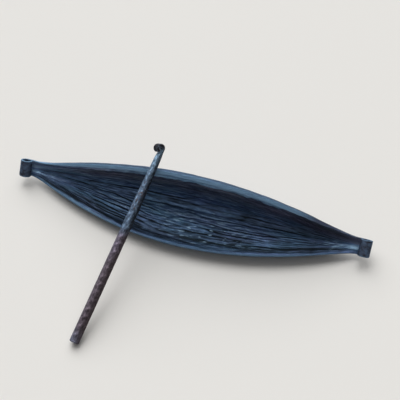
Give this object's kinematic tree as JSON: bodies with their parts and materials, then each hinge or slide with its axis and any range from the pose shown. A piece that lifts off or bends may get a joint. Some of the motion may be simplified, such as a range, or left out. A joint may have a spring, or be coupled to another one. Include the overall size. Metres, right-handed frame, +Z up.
{
  "type": "banana bell with striker",
  "caption": "Boat-shaped hand-forged iron bell with rolled ends, lying on a flat of its flank, and a loose ribbed-bar striker that leans on its rim and lifts off.",
  "frame": {"origin": "on the flat of the bell's flank, midway between the two eyes, at ground level", "axes": "+X along the bell from the left eye to the right eye, +Y to the far side, away from the striker's foot, +Z up"},
  "size_m": [0.2274, 0.1217, 0.0468],
  "materials": {
    "bell": "forged, blue-black scale with worn edges",
    "striker": "ribbed bar with brown scale, forged tip"
  },
  "bodies": {
    "bell": {"bell": "bell"},
    "striker": {"striker": "striker"}
  },
  "joints": [
    {"name": "striker_lift", "type": "slide", "parent": "bell", "child": "striker", "axis": [0, 0, 1], "range_m": [0, 0.06]}
  ]
}
